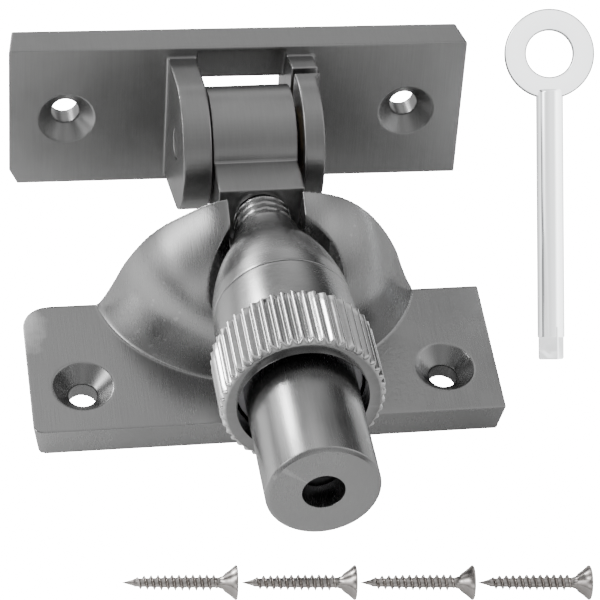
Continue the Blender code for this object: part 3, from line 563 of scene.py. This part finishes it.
def countersink(x, y, top, mouth_r, below):
    hole_r, depth, above = 2.0, 2.1, 1.5
    axes = make_axes((x, y, top), (1, 0, 0), (0, 1, 0), (0, 0, 1))
    profile = [(-below, ON_AXIS), (-below, hole_r), (-depth, hole_r), (0.0, mouth_r),
               (above, mouth_r + 1.4), (above, ON_AXIS)]
    return cutter(lathe(axes, profile, 96))


# ------------------------------------------------------------------ keeper
def bell(x, centre, width):
    return math.exp(-(((x - centre) / width) ** 2))


def hood_shape(point):
    """The hood is shallower than a ball, its right shoulder higher and fuller than its left."""
    x, y, z = (float(c) for c in point)
    rise = z - KEEPER_T
    depth = 0.94 - 0.078 * math.exp(-((max(rise, 0.0) / 4.2) ** 1.3))
    y = HOOD_Y + (y - HOOD_Y) * depth
    if z <= HOOD_BASE:
        return (x, y, z)
    turn = math.degrees(math.atan2(rise, x))  # 0 right, 90 top, 180 left
    right = 1.045 + 0.055 * bell(turn, 60.0, 20.0)
    left = 0.985 + 0.04 * bell(turn, 106.0, 15.0) + 0.02 * bell(turn, 133.0, 12.0)
    right_share = 1.0 / (1.0 + math.exp((turn - 90.0) / 3.0))
    grow = left + (right - left) * right_share
    grow = 1.0 + (grow - 1.0) * min(1.0, max(0.0, (z - HOOD_BASE) / 1.5))
    return (x * grow, y, KEEPER_T + rise * grow)


def make_hood():
    """A dome with a flared foot, cut off flush with the plate's rear edge."""
    foot_r = HOOD_R + 1.75
    profile = [(2.0, ON_AXIS), (2.0, foot_r)]
    start = math.radians(18.0)
    foot, knee = (KEEPER_T, foot_r), (6.6, HOOD_R + 0.47)
    join = (KEEPER_T + HOOD_R * math.sin(start), HOOD_R * math.cos(start))
    profile += [bezier(foot, knee, join, i / 24) for i in range(24)]
    for i in range(41):
        angle = start + (0.5 * math.pi - start) * i / 40
        profile.append((KEEPER_T + HOOD_R * math.sin(angle),
                        max(HOOD_R * math.cos(angle), ON_AXIS)))
    axes = make_axes((0, HOOD_Y, 0), (1, 0, 0), (0, 1, 0), (0, 0, 1))
    points, faces = lathe(axes, profile, 192)
    hood = cutter(([hood_shape(p) for p in points], faces))
    behind = [(-40, KEEPER_HALF_D), (40, KEEPER_HALF_D), (40, 71), (-40, 71)]
    combine(hood, [cutter(prism(behind, (-5, 60)))], "DIFFERENCE")
    return hood


def make_cup_cutter():
    """U-shaped and open at the top: a slot for the stud widening forward into the cup."""
    stations = [  # station, radius
        (-25.0, CUP_SLOT_R), (-7.4, CUP_SLOT_R), (-6.5, 6.3), (-4.8, 8.3), (-1.5, 11.2),
        (0.0, CUP_R), (34.0, CUP_R),
    ]
    top, flare = 22.0, 1.02
    rings = []
    for station, r in stations:
        x = CUP_SHIFT if r > 9 else CUP_SHIFT * (r - CUP_SLOT_R) / 4.0
        outline = [(-r * flare + x, top)]
        for i in range(65):
            angle = math.pi + math.pi * i / 64
            outline.append((x + r * math.cos(angle), r * math.sin(angle)))
        outline.append((r * flare + x, top))
        rings.append([place(KNOB, (px, py, station)) for px, py in outline])
    return cutter(loft(rings))


def make_keeper():
    keeper = plate("keeper_skin", -33.25, 33.25, -KEEPER_HALF_D, KEEPER_HALF_D,
                   (1.3, 0.3, 0.3, 3.8), base=0.0, top=KEEPER_T)
    combine(keeper, [make_hood()], "UNION")
    cuts = [make_cup_cutter()]
    for side in (-1, 1):
        cuts.append(countersink(side * 25.7, -3.46, KEEPER_T, mouth_r=4.26, below=6.0))
    combine(keeper, cuts, "DIFFERENCE")
    recast(keeper, 0.17, smooth_steps=2)
    settle(keeper, WORLD)
    finish(keeper, ("keeper", "keeper", "keeper_nickel", M_KEEPER))


make_keeper()


# ------------------------------------------------------------------ bracket, in (x, up, out)
def ear_outline(root_top, root_low, radius, steps=40):
    """(out, up) outline of an arc about the pin with tangents down to the plate."""
    centre = np.array([PIN_OUT, PIN_UP])

    def tangent(root):
        way = centre - np.array([0.0, root])
        return math.atan2(way[1], way[0]), math.pi - math.acos(radius / math.hypot(*way))

    base, turn = tangent(root_top)
    first = base + turn
    base, turn = tangent(root_low)
    last = base - turn
    out = [(-1.0, root_top), (0.0, root_top)]
    for i in range(steps + 1):
        angle = first + (last - first) * i / steps
        out.append((centre[0] + radius * math.cos(angle), centre[1] + radius * math.sin(angle)))
    return out + [(0.0, root_low), (-1.0, root_low)]


def make_bracket():
    half, half_low = 33.45, 33.4
    bracket = plate("bracket_skin", BRACKET_SHIFT - half, BRACKET_SHIFT + half, -0.05, 22.75,
                    (0.2,) * 4, base=-5.4, top=0.0)
    outline = ear_outline(root_top=21.0, root_low=0.9, radius=9.4)
    ears = [cutter(prism(outline, ends, ALONG_X)) for ends in ((-10.2, -6.15), (EAR_INNER_X, 10.8))]
    combine(bracket, ears, "UNION")
    left = BRACKET_SHIFT - half_low
    window = (-6.1, 6.95)
    # outlines are (out, x) along Y, (x, up) along Z and (out, up) along X
    right_ear_side = [(6.2, 11.1), (8.0, 9.9), (22.0, 9.9), (22.0, 12.8), (6.2, 12.8)]
    lower_left_corner = [(left - 1.0, -1.0), (left + 1.6, -1.0), (left - 1.0, 4.2)]
    right_ear_notch = [(4.5, 16.0), (6.4, 16.0), (6.4, 30.0), (4.5, 30.0)]
    window_side = [(-6.4, 4.5), (2.0, 4.5), (2.0, 16.75), (-6.4, 16.75)]
    hollow_above = [(-1.4, 15.75), (2.0, 15.75), (2.0, 22.5), (0.0, 22.2), (-1.4, 17.15)]
    cuts = [
        cutter(prism(right_ear_side, (-6.0, 32.0), ALONG_Y)),
        cutter(prism(lower_left_corner, (-6.4, 1.0))),
        cutter(prism(right_ear_notch, (6.4, 11.4), ALONG_X)),
        cutter(prism(window_side, window, ALONG_X)),
        cutter(prism(hollow_above, window, ALONG_X)),
    ]
    for side in (-1, 1):
        cuts.append(countersink(BRACKET_SHIFT + side * 25.1, 11.1, 0.0, mouth_r=4.1, below=7.0))
    cuts.append(cutter(lathe(along_x((0, PIN_UP, PIN_OUT)), bar(-14, 14, PIN_BORE_R), 64)))
    combine(bracket, cuts, "DIFFERENCE")
    recast(bracket, 0.17, smooth_steps=2)
    # the plate slopes down to the right, the ears stay level
    for v in bracket.data.vertices:
        plate_share = min(1.0, max(0.0, (1.6 - v.co.z) / 1.2))
        v.co.y -= 0.0175 * (v.co.x - BRACKET_SHIFT) * plate_share
    settle(bracket, BRACKET)
    finish(bracket, ("bracket", "hinge_bracket", "bracket_nickel", M_BRACKET))


make_bracket()


# ------------------------------------------------------------------ arm, in (x, up, station)
def make_arm():
    """A square block running back into a round eye about the hinge pin."""
    pin = np.array([0.0, PIN_Y, PIN_Z]) - np.array([0.0, 0.0, AXIS_Z])
    pin_station, pin_up = float(pin @ KNOB_OUT), float(pin @ KNOB_UP)
    eye_r, top, low, front = 8.0, 4.25, -4.7, -13.15
    first, last = math.asin((top - pin_up) / eye_r), -math.asin((pin_up - low) / eye_r)
    outline = [(front, low), (front, top)]
    for i in range(81):
        angle = first + (2 * math.pi + last - first) * i / 80
        outline.append((pin_station + eye_r * math.cos(angle), pin_up + eye_r * math.sin(angle)))
    arm = mesh_object("arm_skin", prism(outline, (-ARM_HALF, ARM_HALF), ALONG_X))
    pin_axes = along_x((0, pin_up, pin_station))
    cuts = [cutter(lathe(pin_axes, bar(-12, 12, PIN_BORE_R), 64)),
            cutter(lathe(WORLD, bar(-23.0, -5.0, 3.3), 64))]
    combine(arm, cuts, "DIFFERENCE")
    recast(arm, 0.13, smooth_steps=3)
    settle(arm, KNOB)
    finish(arm, ("arm", "swing_arm", "arm_nickel", M_ARM))


make_arm()

# ------------------------------------------------------------------ stud, hinge pin, washer
threaded("stud_thread", KNOB, lead_in=[(-22.6, 2.6), (-22.2, 3.0), (-13.5, 3.0), (-13.1, 3.3)],
         start=-12.95, end=17.05, lead_out=[(17.6, 3.3), (29.1, 3.3), (29.9, 2.5)],
         part=("arm", "threaded_stud", "stud_steel", M_STUD),
         pitch=1.25, crest=4.0, root=3.28, seg=72, rows=12)
turned("pin_turned", PIN, [(-10.1, ON_AXIS), (-10.1, 1.95), (-9.85, 2.2), (9.55, 2.2),
                           (9.8, 1.95), (9.8, ON_AXIS)],
       ("bracket", "hinge_pin", "pin_steel", M_PIN), seg=64, wrap=False)


def make_washer():
    """Midway in the gap between the arm and the right ear."""
    arm_side = AXIS_X + ARM_HALF
    middle = arm_side + (EAR_INNER_X - arm_side) / 2
    left, right, bore, rim = middle - 0.15, middle + 0.15, 2.5, 4.8
    turned("washer_turned", PIN, [(left, bore), (left, rim), (right, rim), (right, bore)],
           ("bracket", "hinge_washer", "washer_brass", M_WASHER), seg=64, radius=0.05)


make_washer()

# ------------------------------------------------------------------ nose cone and knob body
NOSE_OUTLINE = [  # station, radius
    (-7.9, 4.55), (-7.0, 4.75), (-5.6, 5.1), (-4.3, 5.55), (-2.7, 6.45), (-1.1, 7.3), (1.0, 8.1),
    (3.0, 8.7), (5.7, 9.3), (8.25, 9.5), (10.5, 9.65), (13.5, 9.75), (15.5, 9.75),
]


def nose_radius(station):
    """Radius of the smoothed outline that the nose and the body share."""
    stations, radii = zip(*NOSE_OUTLINE)
    fine = np.linspace(stations[0], stations[-1], 400)
    padded = np.pad(np.interp(fine, stations, radii), 15, mode="edge")
    return float(np.interp(station, fine, np.convolve(padded, np.ones(31) / 31, "valid")))


def smooth_run(start, end, step):
    """Outline points that stay unsoftened."""
    return [(station, nose_radius(station), 0) for station in np.arange(start, end, step)]


outer = [(-7.9, nose_radius(-7.9))] + smooth_run(-7.5, 8.0, 0.4) + [(8.3, nose_radius(8.3))]
inner = [(8.3, 6.3), (5.4, 6.3), (5.4, 7.0), (4.2, 7.0), (4.2, 6.3), (2.2, 6.3), (2.2, 4.2),
         (-7.9, 4.2)]
turned("nose_turned", KNOB, outer + inner, ("nose", "nose_cone", "nose_nickel", M_NOSE), seg=144)
outer = [(8.42, nose_radius(8.42))] + smooth_run(9.0, 15.2, 0.6) + [(15.5, 9.75)]
inner = [(15.5, 8.3), (19.6, 8.3), (20.0, 7.9), (20.0, 4.4), (2.5, 4.4), (2.5, 5.9), (4.4, 6.0),
         (4.4, 5.5), (5.2, 5.5), (5.2, 6.0), (8.42, 6.0)]
turned("body_turned", KNOB, outer + inner, ("knob", "knob_body", "body_nickel", M_BODY), seg=144)


# ------------------------------------------------------------------ knurled ring
def make_ring():
    ribs, per_rib = 48, 12
    front, back = 26.15, 15.8
    crest, root, bore = 11.0, 10.42, 8.67

    def ribbed(height):
        def radius(j):
            from_crest = abs((j % per_rib) / per_rib - 0.5) * 2.0
            wave = (0.5 + 0.5 * math.cos(math.pi * from_crest)) ** 0.75
            return root + (crest - root) * wave * height
        return radius

    profile = [(back, root - 0.35), (back + 0.1, root - 0.1), (back + 0.3, ribbed(0.6)),
               (back + 0.55, ribbed(1.0))]
    profile += [(station, ribbed(1.0)) for station in np.linspace(back + 2, front - 2, 4)]
    profile += [
        (front - 0.7, ribbed(1.0)), (front - 0.45, ribbed(0.85)), (front - 0.25, ribbed(0.35)),
        (front - 0.1, root - 0.12), (front, root - 0.35), (front, bore + 0.2),
        (front - 0.06, bore + 0.06), (front - 0.2, bore), (back + 0.2, bore), (back, bore + 0.2),
    ]
    obj = mesh_object("ring_knurled", lathe(KNOB, profile, ribs * per_rib, wrap=True), MM)
    shade(obj, 34)
    finish(obj, ("knob", "knurled_ring", "ring_nickel", M_RING))


make_ring()


# ------------------------------------------------------------------ lock barrel and screw
def make_barrel():
    back, front, rim, groove, keyhole, bore = 20.4, 42.6, 7.47, 6.85, 2.76, 4.6
    profile = [  # station, radius, corner radius
        (back, rim), (21.6, rim, 0.05), (21.6, groove, 0.05), (22.9, groove, 0.05),
        (22.9, rim, 0.05), (front - 0.35, rim, 0.3), (front, rim - 0.55, 0.2),
        (front, keyhole, 0.1), (38.6, keyhole), (38.6, bore), (back, bore),
    ]
    turned("barrel_turned", KNOB, profile, ("knob", "lock_barrel", "barrel_nickel", M_BARREL),
           seg=160)


def make_lock():
    obj = mesh_object("lock_socketed", lathe(KNOB, soften(bar(30.3, 38.25, 4.25), 0.3), 96))
    half = 1.7
    square = [(-half, -half), (half, -half), (half, half), (-half, half)]
    socket = loft([[place(KNOB, (x, y, station)) for x, y in square] for station in (32.6, 42.0)])
    combine(obj, [cutter(socket)], "DIFFERENCE")
    obj.data.transform(Matrix.Scale(MM, 4))
    shade(obj, 35)
    finish(obj, ("lock", "lock_screw", "lock_steel", M_LOCK))


make_barrel()
make_lock()

# small springs and pins keep their CAD shapes
for node, material in (("stud_cross_pin", M_PIN), ("nose_snap_ring", M_SPRING),
                       ("barrel_circlip", M_SPRING)):
    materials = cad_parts[node].data.materials
    materials.clear()
    materials.append(material)


# ------------------------------------------------------------------ key, stations from its tip
def make_key():
    length, bow_r, bow_hole, half_thick = 50.6, 6.47, 3.38, 1.9 / 2
    shank_r, tip_len, half_tip, tip_turn = 1.95, 3.2, 3.0 / 2, math.radians(22.0)
    slack = 0.03  # between the bow and its seat in the shank
    key = make_axes((42.39, -0.53, 1.35), KEY_SIDE, KEY_ALONG, KEY_FACE)
    bow_y = length - bow_r
    bow = make_axes(place(key, (0, bow_y, 0)), key[1], key[2], key[3])
    turned("bow_polished", bow, [(-half_thick, bow_hole), (-half_thick, bow_r),
                                 (half_thick, bow_r), (half_thick, bow_hole)],
           ("key", "key_bow", "key_bow_chrome", M_BOW), seg=160, radius=0.42)
    end = bow_y - bow_r + 1.3
    profile = soften([(tip_len, ON_AXIS), (tip_len, shank_r, 0.15), (end, shank_r, 0.5),
                      (end, ON_AXIS)])
    shank_axes = make_axes(key[0], key[3], key[1], key[2])
    shank = mesh_object("shank_polished", lathe(shank_axes, profile, 96))

    def square(y, scale):
        half = half_tip * scale
        cos, sin = math.cos(tip_turn), math.sin(tip_turn)
        return [place(key, (x * cos - z * sin, y, x * sin + z * cos))
                for x, z in rounded_rect(-half, half, -half, half, (0.2,) * 4, 3)]

    tip = [square(0.0, 0.9), square(0.1, 0.96), square(0.25, 1.0), square(tip_len + 1.5, 1.0)]
    combine(shank, [cutter(loft(tip))], "UNION")
    seat = bar(-half_thick - slack, half_thick + slack, bow_r + slack)
    combine(shank, [cutter(lathe(bow, seat, 128))], "DIFFERENCE")
    shank.data.transform(Matrix.Scale(MM, 4))
    shade(shank, 35)
    finish(shank, ("key", "key_shank", "key_shank_chrome", M_SHANK))


make_key()

# ------------------------------------------------------------------ wood screws
HEAD_R, SCREW_LEN, CREST_R, CORE_R, THREAD_PITCH = 2.35, 15.3, 1.16, 0.68, 0.93
SCREW_STEP, ROW_TURN = 15.95, math.radians(-4.5)
HEAD_PROFILE = [  # station from the face, radius
    (0.0, HEAD_R - 0.1), (0.06, HEAD_R - 0.02), (0.14, HEAD_R), (0.24, HEAD_R - 0.01),
    (1.0, 1.68), (1.6, CREST_R + 0.12), (1.95, CORE_R + 0.2), (2.3, CORE_R + 0.1),
]


def make_screw(number):
    """Lies on its side, head to the right; number 4 is the rightmost."""
    row = np.array([math.cos(ROW_TURN), math.sin(ROW_TURN), 0.0])
    side = np.array([-math.sin(ROW_TURN), math.cos(ROW_TURN), 0.0])
    up = np.array([0.0, 0.0, 1.0])
    head_at = np.array([39.5, -40.5, HEAD_R]) - row * SCREW_STEP * (4 - number)
    start = 2.5
    end = start + 12 * THREAD_PITCH
    obj = threaded("screw_turned_%d" % number, make_axes(head_at, up, side, -row),
                   lead_in=HEAD_PROFILE, start=start, end=end,
                   lead_out=[(end + 0.25, CORE_R * 0.6), (SCREW_LEN, 0.03)],
                   part=("screw_%d" % number, "wood_screw_%d" % number, "screw_steel", M_SCREW),
                   pitch=THREAD_PITCH, crest=CREST_R, root=CORE_R, seg=40, rows=14, taper=0.2,
                   form=lambda phase: max(0.0, 1.0 - abs(phase - 0.5) / 0.24))
    half_w, half_l = 0.26, 1.15
    corners = [(-half_l, -half_w), (half_l, -half_w), (half_l, half_w), (-half_l, half_w)]
    cross = []
    for x_way, y_way in ((side, up), (up, side)):
        axes = make_axes(head_at, x_way, y_way, -row)
        rings = [[place(axes, (x * scale, y * scale, station)) for x, y in corners]
                 for station, scale in ((-0.5, 1.1), (1.0, 0.6))]
        cross.append(cutter(loft(rings), MM))
    combine(obj, cross, "DIFFERENCE")
    # guards against the cut mesh coming back without its material
    if not obj.data.materials:
        obj.data.materials.append(M_SCREW)
    shade(obj, 50)


for number in (1, 2, 3, 4):
    make_screw(number)

# ------------------------------------------------------------------ floor and light, in metres
CAMERA_GLOW = 20.0  # makes the surroundings pure white to the camera only


def make_floor():
    """A white floor with a round glow to the left of the fastener."""
    half, z = 1.2, -0.0004
    glow_at, glow_r, glow_power = (-0.12, 0.0, 0.0), 0.08, 1.41
    mesh = bpy.data.meshes.new("floor")
    mesh.from_pydata([(-half, -half, z), (half, -half, z), (half, half, z), (-half, half, z)],
                     [], [(0, 1, 2, 3)])
    floor = link(bpy.data.objects.new("floor", mesh))
    mat, sh, surface = new_material("floor_white")
    surface["Base Color"].default_value = (0.8, 0.8, 0.8, 1)
    surface["Roughness"].default_value = 0.9
    surface["Specular IOR Level"].default_value = 0.0
    camera_ray = sh.node("LightPath").outputs["Is Camera Ray"]
    away = sh.math("DIVIDE", sh.vector("DISTANCE", sh.here(), glow_at), glow_r)
    glow = sh.math("EXPONENT", sh.times(sh.math("POWER", away, 2.0), -1.0))
    glow = sh.times(glow, glow_power)
    surface["Emission Color"].default_value = (1, 1, 1, 1)
    sh.put(surface["Emission Strength"], sh.add(glow, sh.times(camera_ray, CAMERA_GLOW)))
    mesh.materials.append(mat)


# soft panels all round: (degrees from +Y towards +X, degrees above level, tightness, strength)
PANELS = [
    (-83, 6, 42, 2.00), (-43, 7, 80, 2.60), (-18, 6, 42, 2.12), (-132, 19, 42, 1.51),
    (-105, 19, 42, 1.32), (3, 19, 42, 0.58), (16, 19, 42, 0.77), (-85, 32, 42, 1.90),
    (-40, 31, 80, 2.60), (-16, 46, 42, 1.09), (3, 46, 42, 0.61), (41, 46, 42, 0.68),
    (0, 62, 42, 0.36), (60, 62, 42, 0.96), (85, 10, 11, 0.98), (-34, 21, 260, 34.0),
    (-22, 6, 160, 3.0), (-80, 43, 110, 8.5), (-87, 27, 110, 6.5), (100, 45, 60, 0.9),
    (175, 10, 11, 0.90), (88, 35, 11, 0.39), (120, 35, 11, 0.59), (-165, 60, 11, 0.53),
    (0, 86, 11, 0.61),
]


def make_studio():
    world = bpy.data.worlds.new("studio")
    world.use_nodes = True
    world.node_tree.nodes.clear()
    sh = Shader(world.node_tree)
    way = sh.here("Generated")
    total = None
    for compass, height, tightness, strength in PANELS:
        a, e = math.radians(compass), math.radians(height)
        centre = (math.sin(a) * math.cos(e), math.cos(a) * math.cos(e), math.sin(e))
        off = sh.math("SUBTRACT", sh.vector("DOT_PRODUCT", way, centre), 1.0)
        glow = sh.times(sh.math("EXPONENT", sh.times(off, tightness)), strength)
        total = glow if total is None else sh.add(total, glow)
    camera_ray = sh.node("LightPath").outputs["Is Camera Ray"]
    total = sh.add(total, sh.times(camera_ray, CAMERA_GLOW))
    background = sh.node("Background")
    background.inputs["Color"].default_value = (1, 1, 1, 1)
    sh.put(background.inputs["Strength"], total)
    sh.put(sh.node("OutputWorld").inputs["Surface"], background.outputs[0])
    bpy.context.scene.world = world


make_floor()
make_studio()

# ------------------------------------------------------------------ camera
CAMERA_RIGHT = (0.9858358738763837, -0.14172232232796914, 0.08967950229764925)
CAMERA_UP = (0.048578675103298496, 0.7530965239793032, 0.6561141195672433)
CAMERA_BACK = (-0.16052333818979414, -0.6424643250206644, 0.7493142524816587)
CAMERA_AT = (-0.05975238, -0.25630717, 0.31557054)


def make_camera():
    camera = bpy.data.cameras.new("camera")
    camera.sensor_width = 36.0
    camera.lens = 172.9367268
    camera.clip_start, camera.clip_end = 0.01, 10.0
    obj = bpy.data.objects.new("camera", camera)
    rows = zip(CAMERA_RIGHT, CAMERA_UP, CAMERA_BACK, CAMERA_AT)
    obj.matrix_world = Matrix((*rows, (0, 0, 0, 1)))
    bpy.context.scene.camera = link(obj)


make_camera()
